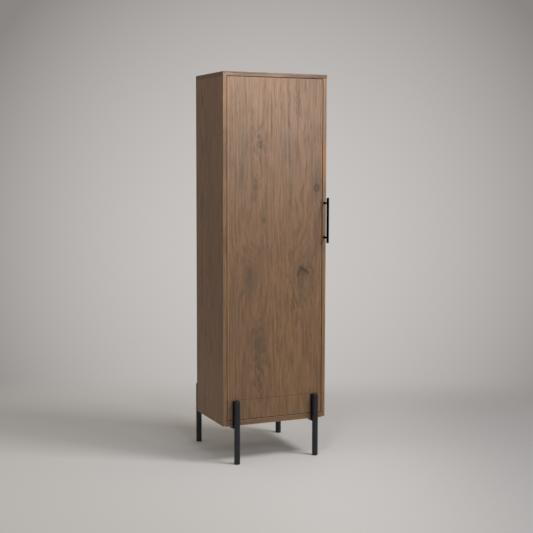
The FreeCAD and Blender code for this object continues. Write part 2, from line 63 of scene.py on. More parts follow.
def linear(code):
    """Linear colour from an sRGB hex value."""
    parts = [int(code[i:i + 2], 16) / 255 for i in (1, 3, 5)]
    return tuple(c / 12.92 if c <= 0.04045 else ((c + 0.055) / 1.055) ** 2.4 for c in parts) + (1.0,)


def length(name, description, millimetres):
    return FloatProperty(name=name, description=description, default=millimetres * MM, unit="LENGTH")


def share(name, description, value):
    return FloatProperty(name=name, description=description, default=value, subtype="FACTOR")


def angle(name, description, degrees):
    return FloatProperty(name=name, description=description, default=math.radians(degrees), unit="ROTATION")


def spot(name, description, point):
    return FloatVectorProperty(name=name, description=description, default=point, unit="LENGTH",
                               subtype="TRANSLATION")


def colour(name, description, code):
    return FloatVectorProperty(name=name, description=description, default=linear(code), size=4,
                               min=0, max=1, subtype="COLOR")


class OakSettings(bpy.types.PropertyGroup):
    ring_spacing: length("Ring spacing", "Distance between growth rings on the face", 13.0)
    heave: length("Heave", "How far the rings swell towards the face, which makes arches", 34)
    sway: length("Sway", "How far the grain wanders sideways", 15)
    # An edge is drawn lighter: partly rubbed-through stain, partly a painted highlight along it
    rubbed_and_highlight_width: length("Rubbed edge", "Width over which an edge is rubbed lighter", 3.6)
    rubbed_and_highlight_depth: length("Rubbed depth", "How far the rubbing goes round the edge to the back", 1.0)
    pale_stain: colour("Pale stain", "Late wood, where little stain soaks in", "#94704f")
    deep_stain: colour("Deep stain", "Early wood, where the stain collects", "#57402c")
    grey_stain: colour("Grey stain", "Broad cooler bands in the veneer", "#79654f")
    gold_stain: colour("Gold stain", "Warmer streaks where the oak is paler", "#a97745")
    pore_stain: colour("Pore stain", "Open pores filled with stain", "#38281c")
    # Colour of the light edges: rubbed-through stain and painted highlight at once
    rubbed_and_highlight_stain: colour("Rubbed stain", "Edges that are rubbed through", "#bd966c")
    knot_shadow: colour("Knot shadow", "Greenish wood around and inside a knot", "#514430")
    knot_bark: colour("Knot bark", "Dark bark in and around a knot", "#2a1e13")
    sheen_roughness: share("Roughness", "Roughness of the matt lacquer", 0.43)


class HardwareSettings(bpy.types.PropertyGroup):
    coat: colour("Powder coat", "Black polyester powder coat on the legs", "#14191f")
    handle_coat: colour("Handle coat", "Deeper black on the handle", "#050505")
    zinc: colour("Zinc", "Zinc plate on the screws and fittings", "#b4b7ba")
    brass: colour("Brass", "Browned brass of the hinges", "#4a3a26")
    nylon: colour("Nylon", "Black nylon of the glides and the catch", "#151516")
    rubber: colour("Bumpers", "Soft milky bumpers of the door", "#c9c7c0")
    ferrite: colour("Magnet", "Grey magnet of the catch", "#3b3c3f")
    beech: colour("Beech", "Dowels that join the boards", "#b48a5f")
    rim_rounding: length("Rim rounding", "Rounding of a leg's upper rim", 2.4)
    foot_rounding: length("Foot rounding", "Rounding of a glide's lower edge", 4.4)
    bar_rounding: length("Bar rounding", "Rounding of the handle bar's ends", 1.4)
    post_flare: length("Post flare", "How far a handle post widens at its ends", 1.8)
    tip_rounding: length("Tip rounding", "Rounding of a shelf pin's tip", 1.2)
    bead_width: length("Bead width", "Width of a weld bead", 3.2)
    bead_pitch: length("Bead pitch", "Distance between the ripples of a weld bead", 2.4)
    recess_share: share("Recess", "Width of a screw's cross recess over its head", 0.6)


class StageSettings(bpy.types.PropertyGroup):
    camera_place: spot("Camera", "Place of the camera", (-2.0557, -4.7085, 1.3961))
    camera_yaw: angle("Yaw", "Camera's turn to the right of straight ahead", 24.044)
    camera_pitch: angle("Pitch", "Camera's tilt below the horizon", 5.178)
    camera_roll: angle("Roll", "Camera's turn about its own axis", 0.142)
    camera_lens: FloatProperty(name="Lens", description="Focal length in mm", default=73.336)
    camera_rise: FloatProperty(name="Rise", description="Vertical shift of the view", default=-0.02)
    wash_from: spot("Wash from", "Where the wash of light on the wall starts", (-2.056, -4.709, 1.396))
    wash_to: spot("Wash to", "Brightest point of the wall", (3.1, 6.70, 0.442))
    wash_spread: share("Wash spread", "Half width of the wash over its distance", 0.313)
    floor_light: colour("Floor, light side", "Pale floor around the object", "#dad7d4")
    # Painted shade: behind and to the right of the cabinet the floor is painted a little darker
    floor_back_painted_shade: colour("Floor, behind", "Pale floor behind and to the right", "#d1cecc")
    # Painted shade: far to the right the floor is painted darker still
    floor_right_painted_shade: colour("Floor, dim side", "Pale floor far to the right", "#aeaaaa")
    # The wall glows with these colours, a painted wash of light from its bright middle to dusk
    wall_colour: colour("Wall", "Middle of the backdrop", "#c9c5c2")
    dusk_colour: colour("Dusk", "Backdrop at the edge of the wash", "#8a8683")
    far_colour: colour("Far wall", "Backdrop well outside the wash", "#a9a5a1")
    air: colour("Air", "Light that comes evenly from all round", "#fffaf2")
    air_strength: FloatProperty(name="Air strength", description="Strength of that light", default=0.392)


# Nodes

MATH, VECTORS, RANGE = "ShaderNodeMath", "ShaderNodeVectorMath", "ShaderNodeMapRange"
# A range with soft ends, and one that goes down from 1 to 0
SMOOTH = {"interpolation_type": "SMOOTHSTEP"}
FALLING = {"To Min": 1.0, "To Max": 0.0}


def add_node(tree, kind, inputs=None, operation=None, **settings):
    """Add a node. An input is given a value, a node, a node's output or a list of them."""
    node = tree.nodes.new(kind)
    if operation:
        settings["operation"] = operation
    for key, value in settings.items():
        setattr(node, key, value)
    for key, given in (inputs or {}).items():
        for value in given if isinstance(given, list) else [given]:
            if isinstance(value, bpy.types.Node):
                value = next(socket for socket in value.outputs if socket.enabled)
            if isinstance(value, bpy.types.NodeSocket):
                tree.links.new(value, node.inputs[key])
            else:
                node.inputs[key].default_value = value
    return node


def new_group(name, inputs, outputs, kind="ShaderNodeTree"):
    """Make a node group, its sockets listed by type, and return it with what it is given."""
    group = bpy.data.node_groups.new(name, kind)
    for way, sockets in (("INPUT", inputs), ("OUTPUT", outputs)):
        for socket, labels in sockets.items():
            for label in labels:
                group.interface.new_socket(name=label, in_out=way, socket_type="NodeSocket" + socket)
    return group, group.nodes.new("NodeGroupInput").outputs


def new_material(name):
    """A material whose nodes are still to be added, and its tree."""
    material = bpy.data.materials.new(name)
    material.use_nodes = True
    material.node_tree.nodes.clear()
    return material, material.node_tree


def object_in_mm(tree):
    """The place on the object, in mm."""
    place = add_node(tree, "ShaderNodeTexCoord").outputs["Object"]
    return add_node(tree, VECTORS, {0: place, "Scale": 1 / MM}, "SCALE")


# Sockets of a colour mix: how much of the upper colour, the lower colour and the upper one
AMOUNT, LOWER, UPPER = 0, 6, 7


def layered(tree, tone, layers):
    """Lay colours over a tone, each by its pattern and the strength that it has at most."""
    for pattern, strength, above in layers:
        amount = add_node(tree, MATH, {0: pattern, 1: strength}, "MULTIPLY")
        tone = add_node(tree, "ShaderNodeMix", {AMOUNT: amount, LOWER: tone, UPPER: above}, data_type="RGBA")
    return tone


# Stained oak

# Patterns of plain-sawn oak: size across and along the grain in mm, how many finer sizes it holds,
# and the levels of the noise between which it comes out
OAK_PATTERNS = {
    # Slow drift of the tree's axis, short kinks beside buds and knots, and swellings of the trunk
    "drift": (170, 620, 1.0), "kinks": (26, 120, 2.0), "swellings": (240, 330, 2.0),
    # Wet and dry years, which set the rings apart unevenly, and gaps in a ring's dark line
    "years": (34, 260, 1.0), "gaps": (11, 70, 2.0, 0.36, 0.62),
    # A fibre is 0.02 mm wide, too fine to show from here, so bundles of fibres are drawn in three sizes
    "coarse fibres": (6.5, 90, 3.0), "fine fibres": (1.5, 60, 2.0), "bundles": (7.0, 210, 3.0, 0.40, 0.66),
    # Paler streaks of a finger's width, and cooler bands a hand wide
    "warm streaks": (10, 320, 3.0, 0.46, 0.72), "cool bands": (95, 780, 2.0, 0.34, 0.66),
    # Pores are 0.3 mm wide, too fine to show from here, so they are drawn about nine times as coarse
    "pores": (2.6, 34, 1.0, 0.55, 0.68),
}

# How far the kinks bend the grain sideways, and how softly the rings of two piths meet, in mm
KINK_REACH = 6.0
PITH_BLEND = 20.0
NO_PITH = (4000, 0, 0)

# How far apart two boards are cut from the same endless log, in mm for a seed of 1
SEED_STEP = (371.0, 913.0, 2237.0)


def streaks(tree, place, pattern):
    """One of the oak's patterns, as noise drawn out along the grain."""
    across, along, detail, *levels = OAK_PATTERNS[pattern]
    scaled = add_node(tree, VECTORS, {0: place, 1: (1 / across, 1 / across, 1 / along)}, "MULTIPLY")
    noise = add_node(tree, "ShaderNodeTexNoise", {"Vector": scaled, "Scale": 1.0, "Detail": detail})
    if not levels:
        return noise
    return add_node(tree, RANGE, {"Value": noise, "From Min": levels[0], "From Max": levels[1]})


def oak_figure():
    """Growth rings, fibres and pores of plain-sawn oak. Place holds across, depth and along, in mm."""
    group, given = new_group(
        "oak figure",
        {"Vector": ("Place", "Pith", "Second pith"),
         "Float": ("Ring spacing", "Heave", "Sway", "Lift", "Seed")},
        {"Float": ("Rings", "Fibre", "Streak", "Gold", "Tone", "Pores")})
    offset = add_node(group, VECTORS, {0: SEED_STEP, "Scale": given["Seed"]}, "SCALE")
    place = add_node(group, VECTORS, {0: given["Place"], 1: offset}, "ADD")
    drift, kinks, swellings = [
        add_node(group, MATH, {0: streaks(group, place, pattern), 1: 0.5}, "SUBTRACT")
        for pattern in ("drift", "kinks", "swellings")]
    sway = add_node(group, MATH, {0: drift, 1: given["Sway"]}, "MULTIPLY")
    sway = add_node(group, MATH, {0: kinks, 1: KINK_REACH, 2: sway}, "MULTIPLY_ADD")
    heave = add_node(group, MATH, {0: swellings, 1: given["Heave"]}, "MULTIPLY")
    moved = add_node(group, "ShaderNodeCombineXYZ", {"X": sway, "Y": heave})
    bent, bent_place = [add_node(group, VECTORS, {0: straight, 1: moved}, "ADD")
                        for straight in (given["Place"], place)]

    radii = []
    for pith in ("Pith", "Second pith"):
        apart = add_node(group, VECTORS, {0: bent, 1: given[pith]}, "SUBTRACT")
        flat = add_node(group, VECTORS, {0: apart, 1: (1, 1, 0)}, "MULTIPLY")
        radii.append(add_node(group, VECTORS, {0: flat}, "LENGTH"))
    radius = add_node(group, MATH, {0: radii[0], 1: radii[1], 2: PITH_BLEND}, "SMOOTH_MIN")
    lifted = add_node(group, MATH, {0: radius, 1: given["Lift"]}, "ADD")
    turns = add_node(group, MATH, {0: lifted, 1: given["Ring spacing"]}, "DIVIDE")
    # Good and poor years move a ring by up to 1.6 of its spacing
    uneven = add_node(group, MATH, {0: streaks(group, place, "years"), 1: 1.6, 2: turns}, "MULTIPLY_ADD")
    ring = add_node(group, MATH, {0: uneven}, "FRACT")
    # Stain collects in the early wood: a ring starts dark, fades over half its width and ends in a rise
    fall = add_node(group, RANGE, {"Value": ring, "From Max": 0.55, **FALLING}, **SMOOTH)
    rise = add_node(group, RANGE, {"Value": ring, "From Min": 0.86}, **SMOOTH)
    band = add_node(group, MATH, {0: fall, 1: rise}, "MAXIMUM")
    rings = add_node(group, MATH, {0: band, 1: streaks(group, place, "gaps")}, "MULTIPLY")
    coarse, fine = streaks(group, place, "coarse fibres"), streaks(group, place, "fine fibres")
    fibre = add_node(group, MATH, {0: coarse, 1: fine}, "ADD")
    fibre = add_node(group, RANGE, {"Value": fibre, "From Min": 0.72, "From Max": 1.28})
    # Pores show most in the early wood, and three tenths as strongly elsewhere
    along_rings = add_node(group, MATH, {0: band, 1: 0.7, 2: 0.3}, "MULTIPLY_ADD")
    pores = add_node(group, MATH, {0: streaks(group, place, "pores"), 1: along_rings}, "MULTIPLY")
    add_node(group, "NodeGroupOutput", {
        "Rings": rings, "Fibre": fibre, "Streak": streaks(group, bent_place, "bundles"),
        "Gold": streaks(group, bent_place, "warm streaks"), "Tone": streaks(group, place, "cool bands"),
        "Pores": pores})
    return group


def knot_shape():
    """How one knot swells the rings around it, and where its heart, rim and shadow lie.

    Radius is in mm. Reach and cloud, the reach of the swelling and of the shadow, are in radii.
    """
    group, given = new_group(
        "knot", {"Vector": ("Place", "Middle"), "Float": ("Radius", "Ragged", "Reach", "Cloud")},
        {"Float": ("Swell", "Heart", "Rim", "Shadow")})
    apart = add_node(group, VECTORS, {0: given["Place"], 1: given["Middle"]}, "SUBTRACT")
    # A knot is a quarter longer than wide, and what it does to the wood around it 2.5 times as long
    flat = add_node(group, VECTORS, {0: apart, 1: (1, 0, 0.8)}, "MULTIPLY")
    unit = add_node(group, VECTORS, {0: flat, 1: given["Radius"]}, "DIVIDE")
    # Its outline is torn in bites about one radius long
    noise = add_node(group, "ShaderNodeTexNoise", {"Vector": unit, "Scale": 1.1, "Detail": 2.0})
    torn = add_node(group, VECTORS, {0: noise.outputs["Color"], 1: (0.5, 0.5, 0.5)}, "SUBTRACT")
    rough = add_node(group, VECTORS, {0: torn, 1: given["Ragged"], 2: unit}, "MULTIPLY_ADD")
    near = add_node(group, VECTORS, {0: rough}, "LENGTH")
    off_rim = add_node(group, MATH, {0: near, 1: 1.0}, "SUBTRACT")
    off_rim = add_node(group, MATH, {0: off_rim}, "ABSOLUTE")
    heart = add_node(group, RANGE, {"Value": near, "From Min": 0.2, "From Max": 1.5, **FALLING}, **SMOOTH)
    rim = add_node(group, RANGE, {"Value": off_rim, "From Max": 0.75, **FALLING}, **SMOOTH)
    longer = add_node(group, VECTORS, {0: rough, 1: (1, 0, 0.5)}, "MULTIPLY")
    wide = add_node(group, VECTORS, {0: longer}, "LENGTH")
    bells = []
    for reach in ("Reach", "Cloud"):
        ratio = add_node(group, MATH, {0: wide, 1: given[reach]}, "DIVIDE")
        square = add_node(group, MATH, {0: ratio, 1: 2.0}, "POWER")
        minus = add_node(group, MATH, {0: square, 1: -1.0}, "MULTIPLY")
        bells.append(add_node(group, MATH, {0: minus}, "EXPONENT"))
    add_node(group, "NodeGroupOutput", {"Swell": bells[0], "Heart": heart, "Rim": rim, "Shadow": bells[1]})
    return group


def bark_stroke():
    """A dark stroke between two points of the face, worn at its ends. Places and width are in mm."""
    group, given = new_group("bark stroke", {"Vector": ("Place", "From", "To"), "Float": ("Width",)},
                             {"Float": ("Mark",)})
    flat = add_node(group, VECTORS, {0: given["Place"], 1: (1, 0, 1)}, "MULTIPLY")
    # Torn by up to 4 mm either way, in bites about 8 mm long
    noise = add_node(group, "ShaderNodeTexNoise", {"Vector": flat, "Scale": 0.12, "Detail": 2.0})
    torn = add_node(group, VECTORS, {0: noise.outputs["Color"], 1: (0.5, 0.5, 0.5)}, "SUBTRACT")
    rough = add_node(group, VECTORS, {0: torn, 1: (9, 9, 9), 2: flat}, "MULTIPLY_ADD")
    reach = add_node(group, VECTORS, {0: given["To"], 1: given["From"]}, "SUBTRACT")
    apart = add_node(group, VECTORS, {0: rough, 1: given["From"]}, "SUBTRACT")
    along = add_node(group, VECTORS, {0: apart, 1: reach}, "DOT_PRODUCT")
    whole = add_node(group, VECTORS, {0: reach, 1: reach}, "DOT_PRODUCT")
    ratio = add_node(group, MATH, {0: along, 1: whole}, "DIVIDE", use_clamp=True)
    foot = add_node(group, VECTORS, {0: reach, "Scale": ratio}, "SCALE")
    off = add_node(group, VECTORS, {0: apart, 1: foot}, "DISTANCE")
    mark = add_node(group, RANGE, {"Value": off, "From Max": given["Width"], **FALLING}, **SMOOTH)
    add_node(group, "NodeGroupOutput", {"Mark": mark})
    return group


def edge_bands():
    """1 along the edges of a board, where two of its faces meet. Corners and widths are in mm."""
    group, given = new_group("rubbed edges", {"Vector": ("Place", "Low", "High", "Width")},
                             {"Float": ("Rubbed",)})
    above = add_node(group, VECTORS, {0: given["Place"], 1: given["Low"]}, "SUBTRACT")
    below = add_node(group, VECTORS, {0: given["High"], 1: given["Place"]}, "SUBTRACT")
    nearest = add_node(group, VECTORS, {0: above, 1: below}, "MINIMUM")
    widths = add_node(group, VECTORS, {0: nearest, 1: given["Width"]}, "DIVIDE")
    # An edge is close to two faces at once, so one of the three counts is taken off again
    total = -1.0
    for part in add_node(group, "ShaderNodeSeparateXYZ", {0: widths}).outputs:
        close = add_node(group, RANGE, {"Value": part, **FALLING}, **SMOOTH)
        total = add_node(group, MATH, {0: close, 1: total}, "ADD")
    rubbed = add_node(group, MATH, {0: total, 1: 0.0}, "MAXIMUM")
    add_node(group, "NodeGroupOutput", {"Rubbed": rubbed})
    return group


FIGURE = oak_figure()
KNOT = knot_shape()
STROKE = bark_stroke()
EDGE_BAND = edge_bands()

# Which of the frame's axes run across the board, through it and along its grain
GRAINS = {"front": "XYZ", "side": "YXZ", "level": "YZX"}

# Knots in the door's veneer: middle x and z, radius, raggedness, how far the rings swell, how far
# the swelling and the shadow reach in radii, and how strong the heart, the rim and the shadow are.
# Lengths are in mm
DOOR_KNOTS = (
    (208, 1257, 11, 0.9, 26, 2.4, 2.6, 0.6, 0.6, 0.38), (138, 866, 24, 1.3, 52, 2.6, 2.2, 0.25, 0.12, 0.26),
    (-129, 872, 11, 1.5, 36, 3.4, 2.6, 0.45, 0.1, 0.36), (-128, 834, 18, 1.3, 10, 2.4, 1.8, 0.08, 0.0, 0.3),
    (-86, 536, 17, 1.1, 44, 3.0, 2.0, 0.12, 0.04, 0.42), (-58, 1112, 9, 1.4, 16, 2.6, 1.9, 0.42, 0.25, 0.3),
    (-101, 1261, 8, 1.5, 14, 2.6, 1.8, 0.3, 0.3, 0.25), (-82, 1454, 10, 1.8, 16, 2.4, 1.8, 0.22, 0.42, 0.2),
    (-84, 1490, 6, 1.2, 4, 2.4, 1.6, 0.5, 0.45, 0.2),
)

# Dark bark and torn grain: from x, z, to x, z, width in mm, and how strong it is
DOOR_STROKES = (
    (116, 856, 130, 889, 10, 0.55), (130, 889, 162, 866, 11, 0.75), (134, 872, 144, 854, 9, 0.35),
    (162, 866, 170, 856, 8, 0.4), (178, 905, 194, 866, 9, 0.25), (194, 866, 188, 816, 9, 0.22),
    (84, 804, 92, 762, 6, 0.34), (92, 762, 106, 726, 6, 0.48), (106, 726, 114, 704, 6, 0.36),
    (86, 744, 100, 704, 6, 0.32), (132, 756, 118, 714, 6, 0.28), (106, 678, 110, 634, 7, 0.45),
    (100, 638, 108, 610, 6, 0.32), (120, 654, 112, 620, 6, 0.28), (110, 574, 112, 536, 6, 0.28),
    (94, 1716, 104, 1684, 6, 0.35), (116, 1700, 106, 1664, 7, 0.5), (92, 1676, 104, 1640, 6, 0.4),
    (118, 1668, 108, 1622, 6, 0.4), (100, 1622, 106, 1586, 6, 0.4), (116, 1606, 108, 1566, 6, 0.25),
    (-92, 462, -84, 426, 7, 0.42), (-70, 466, -80, 428, 7, 0.38), (-100, 422, -88, 382, 7, 0.38),
    (-66, 422, -82, 376, 7, 0.38), (-100, 362, -88, 328, 7, 0.42), (-68, 366, -82, 322, 7, 0.38),
    (-94, 310, -86, 278, 7, 0.45), (-72, 310, -80, 272, 6, 0.38), (-90, 1378, -88, 1338, 7, 0.3),
    (-94, 1326, -84, 1298, 6, 0.28), (72, 1192, 88, 1158, 7, 0.28), (96, 1208, 108, 1172, 6, 0.22),
)

# Darker stretches along the front edge of a side panel, given by y and z in the same way
EDGE_STROKES = {"left_side_panel": (
    (-202, 1790, -202, 1680, 16, 0.16), (-202, 1510, -202, 1310, 16, 0.18),
    (-202, 1460, -202, 1350, 16, 0.18), (-202, 1080, -202, 940, 16, 0.14),
    (-202, 1040, -202, 975, 16, 0.14),
)}

# Boards with their grain, where the log's pith lies across and through them in mm, and what
# differs from the usual in how they took the stain
BOARDS = (
    ("left_side_panel", "side", (60, -190, 0), dict(gold=0.5, worn=0.3, strength=0.95)),
    ("right_side_panel", "side", (-70, 190, 0), dict(gold=0.75, strength=1.2)),
    ("top_board", "level", (-10, 1700, 0), dict(gold=0.0, worn=0.05, strength=2.1)),
    ("base_board", "level", (30, 230, 0), {}),
    ("deck_board", "level", (-40, 360, 0), {}),
    ("back_panel", "front", (60, 180, 0), {}),
    ("rear_stretcher", "level", (200, 150, 0), {}),
    ("left_apron_cleat", "front", (-300, -100, 0), {}),
    ("right_apron_cleat", "front", (300, -100, 0), {}),
    ("shelf_1", "level", (0, 480, 0), {}),
    ("shelf_2", "level", (40, 980, 0), {}),
    ("shelf_3", "level", (-60, 1090, 0), {}),
    ("shelf_4", "level", (20, 1560, 0), {}),
)

# Edges that stay dark, with neither the rubbed stain nor the painted highlight: how far the low
# and the high corner are moved out of the way, in mm
NO_RUB_OR_HIGHLIGHT = {
    "left_side_panel": ((0, 0, -20), (20, 0, 20)), "right_side_panel": ((-20, 0, -20), (0, 0, 20)),
    "top_board": ((-20, 0, -20), (0, 0, 0)), "base_board": ((-20, 0, 0), (20, 0, 20)),
}

# The same for the edges drawn with a dark line, along the top, bottom and back of a side panel's
# outer face, and how wide that line is drawn across each axis
DARK_LINE_EDGES = {"left_side_panel": ((0, -40, 0), (40, 0, 0)), "right_side_panel": ((-40, -40, 0), (0, 0, 0))}
DARK_LINE_WIDTHS = (3.6, 14.0, 4.5)
DARK_LINE_STRENGTH = 0.6


def moved(corners, steps):
    """Two corners, each moved by a step in mm."""
    return [corner + Vector(step) * MM for corner, step in zip(corners, steps)]


def stained_oak(name, corners, grain, pith, seed, second_pith=NO_PITH, knots=(), strokes=(), gold=0.35,
                rubbed=1.0, worn=0.85, strength=1.0, dark_line_box=None):
    """Oak, brushed so that its pores stay open, stained brown and sealed with matt lacquer.

    The stain darkens the pores and early wood most, so the eye sees dark dashes along warm brown
    rings. Edges are drawn a little lighter, as rubbed-through stain and as a painted highlight
    along the edge, and the lacquer gives broad soft highlights that the open pores break up.
    Corners are the board's, gold is the share of warmer wood, rubbed widens the light edges and
    worn is their strength. The last argument holds the corners of the edges drawn with a dark line.
    """
    oak = bpy.context.scene.cabinet_oak
    material, tree = new_material("brushed_stained_oak_" + name)
    in_mm = object_in_mm(tree)
    axes = add_node(tree, "ShaderNodeSeparateXYZ", {0: in_mm}).outputs
    place = add_node(tree, "ShaderNodeCombineXYZ", {i: axes[axis] for i, axis in enumerate(GRAINS[grain])})

    lift = 0.0
    marks = []
    for x, z, radius, ragged, swell, reach, cloud, heart, rim, shade in knots:
        knot = add_node(tree, "ShaderNodeGroup", {
            "Place": place, "Middle": (x, 0, z), "Radius": radius, "Ragged": ragged, "Reach": reach,
            "Cloud": cloud}, node_tree=KNOT).outputs
        lift = add_node(tree, MATH, {0: knot["Swell"], 1: swell, 2: lift}, "MULTIPLY_ADD")
        marks += [(knot["Shadow"], shade, oak.knot_shadow), (knot["Heart"], heart, oak.knot_shadow),
                  (knot["Rim"], rim, oak.knot_bark)]
    figure = add_node(tree, "ShaderNodeGroup", {
        "Place": place, "Pith": pith, "Second pith": second_pith, "Ring spacing": oak.ring_spacing / MM,
        "Heave": oak.heave / MM, "Sway": oak.sway / MM, "Lift": lift, "Seed": seed},
        node_tree=FIGURE).outputs
    for x, z, to_x, to_z, width, dark in strokes:
        stroke = add_node(tree, "ShaderNodeGroup", {"Place": place, "From": (x, 0, z), "To": (to_x, 0, to_z),
                                                    "Width": width}, node_tree=STROKE)
        marks.append((stroke, dark, oak.knot_bark))

    # Light edges: rubbed-through stain, and a painted highlight along the edge
    wide = oak.rubbed_and_highlight_width * rubbed / MM
    edges = [(*corners, (wide, oak.rubbed_and_highlight_depth / MM, wide), worn, oak.rubbed_and_highlight_stain)]
    if dark_line_box:
        # Dark lines along the top, bottom and back edges. The top one lies on the hairline joint with
        # the top board, too fine to show from here, so the lines are drawn a few mm wide
        edges.append((*dark_line_box, DARK_LINE_WIDTHS, DARK_LINE_STRENGTH, oak.pore_stain))
    for low, high, widths, most, stain in edges:
        edge = add_node(tree, "ShaderNodeGroup", {"Place": in_mm, "Low": low / MM, "High": high / MM,
                                                  "Width": widths}, node_tree=EDGE_BAND)
        marks.append((edge, most, stain))

    tint = layered(tree, oak.pale_stain, [
        (figure["Tone"], 0.48, oak.grey_stain),
        (figure["Gold"], gold, oak.gold_stain),
        (figure["Streak"], 0.42 * strength, oak.deep_stain),
        (figure["Fibre"], 0.4 * strength, oak.deep_stain),
        (figure["Rings"], 0.42 * strength, oak.deep_stain),
        (figure["Pores"], 0.5 * strength, oak.pore_stain),
        *marks])
    # Pores are 0.25 mm deep at most, and the brushed early wood lies a little low and is duller
    hollow = add_node(tree, MATH, {0: figure["Pores"], 1: -0.7, 2: 1.0}, "MULTIPLY_ADD")
    hollow = add_node(tree, MATH, {0: figure["Rings"], 1: -0.3, 2: hollow}, "MULTIPLY_ADD")
    bump = add_node(tree, "ShaderNodeBump", {"Height": hollow, "Strength": 0.5, "Distance": 0.25 * MM})
    rough = add_node(tree, MATH, {0: figure["Rings"], 1: 0.14, 2: oak.sheen_roughness}, "MULTIPLY_ADD")
    skin = add_node(tree, "ShaderNodeBsdfPrincipled", {"Base Color": tint, "Roughness": rough,
                                                       "Normal": bump, "IOR": 1.5})
    add_node(tree, "ShaderNodeOutputMaterial", {"Surface": skin})
    return material


# Finishes of the other pieces: the setting that holds their colour, how much it varies, the size of
# that variation in mm, and for some the depth of their relief in mm
FINISHES = {
    # Polyester powder baked on steel: a satin blue-black with soft streaks of light down the round
    # legs, slightly broken by its dimples, which are about 1 mm wide
    "black_powder_coated_steel": dict(tone="coat", spread=0.12, roughness=0.42, grain=1.1, relief=0.05),
    # Dead matt lacquer sprayed on steel: the handle shows as one flat black line with hardly a highlight
    "black_lacquered_steel": dict(tone="handle_coat", spread=0.12, roughness=0.5, grain=1.1, relief=0.04,
                                  specular=0.04),
    # Zinc plate on steel: cool grey metal with blurred reflections. Its crystals are 0.05 mm wide, too
    # fine to show from here, so they are drawn as clouds 2 mm wide
    "zinc_plated_steel": dict(tone="zinc", spread=0.1, roughness=0.34, grain=2.0, metallic=1.0),
    # Brass, brushed along its length and browned: dark leaves with fine streaks. Brush marks are
    # 0.05 mm wide, too fine to show from here, so they are drawn ten times as coarse
    "bronzed_brass": dict(tone="brass", spread=0.15, roughness=0.5, grain=0.5, stretch=(0.05, 1, 1),
                          metallic=1.0),
    # Nylon moulded in a spark-eroded mould: matt black with a faint grain of 0.6 mm
    "moulded_black_nylon": dict(tone="nylon", spread=0.1, roughness=0.6, grain=0.6, relief=0.03),
    # Cast polyurethane: soft domes, milky and smooth, with a small bright highlight on each
    "clear_polyurethane": dict(tone="rubber", spread=0.04, roughness=0.3, grain=2.0),
    # Pressed and fired ferrite: dull dark grey and a little uneven. Its grains are 0.01 mm wide, too
    # fine to show from here, so they are drawn 0.7 mm wide
    "sintered_ferrite": dict(tone="ferrite", spread=0.2, roughness=0.5, grain=0.7, relief=0.02),
    # Turned beech: pale and plain, with flecks up to 3 mm long
    "turned_beech": dict(tone="beech", spread=0.15, roughness=0.6, grain=3.0),
}


def made_surface(name, tone, spread, roughness, grain, relief=0.0, stretch=(1, 1, 1), metallic=0.0,
                 specular=0.5):
    """A surface whose tone and gloss vary a little with a grain of real size, and with a fine relief."""
    material, tree = new_material(name)
    place = add_node(tree, VECTORS, {0: object_in_mm(tree), 1: stretch}, "MULTIPLY")
    noise = add_node(tree, "ShaderNodeTexNoise", {"Vector": place, "Scale": 1 / grain, "Detail": 3.0})
    middle = getattr(bpy.context.scene.cabinet_hardware, tone)[:3]
    dark, light = [tuple(min(1.0, c * level) for c in middle) + (1.0,) for level in (1 - spread, 1 + spread)]
    tint = add_node(tree, "ShaderNodeMix", {AMOUNT: noise, LOWER: dark, UPPER: light}, data_type="RGBA")
    # The noise lies mostly between 0.3 and 0.7, over which the roughness goes an eighth down and up
    rough = add_node(tree, RANGE, {"Value": noise, "From Min": 0.3, "From Max": 0.7,
                                   "To Min": roughness * 0.88, "To Max": roughness * 1.12})
    skin = add_node(tree, "ShaderNodeBsdfPrincipled", {"Base Color": tint, "Roughness": rough,
                                                       "Metallic": metallic, "Specular IOR Level": specular})
    if relief:
        bump = add_node(tree, "ShaderNodeBump", {"Height": noise, "Strength": 0.6, "Distance": relief * MM})
        tree.links.new(bump.outputs[0], skin.inputs["Normal"])
    add_node(tree, "ShaderNodeOutputMaterial", {"Surface": skin})
    return material


def finish(name):
    """One of the finishes, made when it is first asked for."""
    return bpy.data.materials.get(name) or made_surface(name, **FINISHES[name])


def dress(material, *nodes):
    """Give a material to nodes of the frame."""
    for name in nodes:
        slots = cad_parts[name].data.materials
        slots.clear()
        slots.append(material)


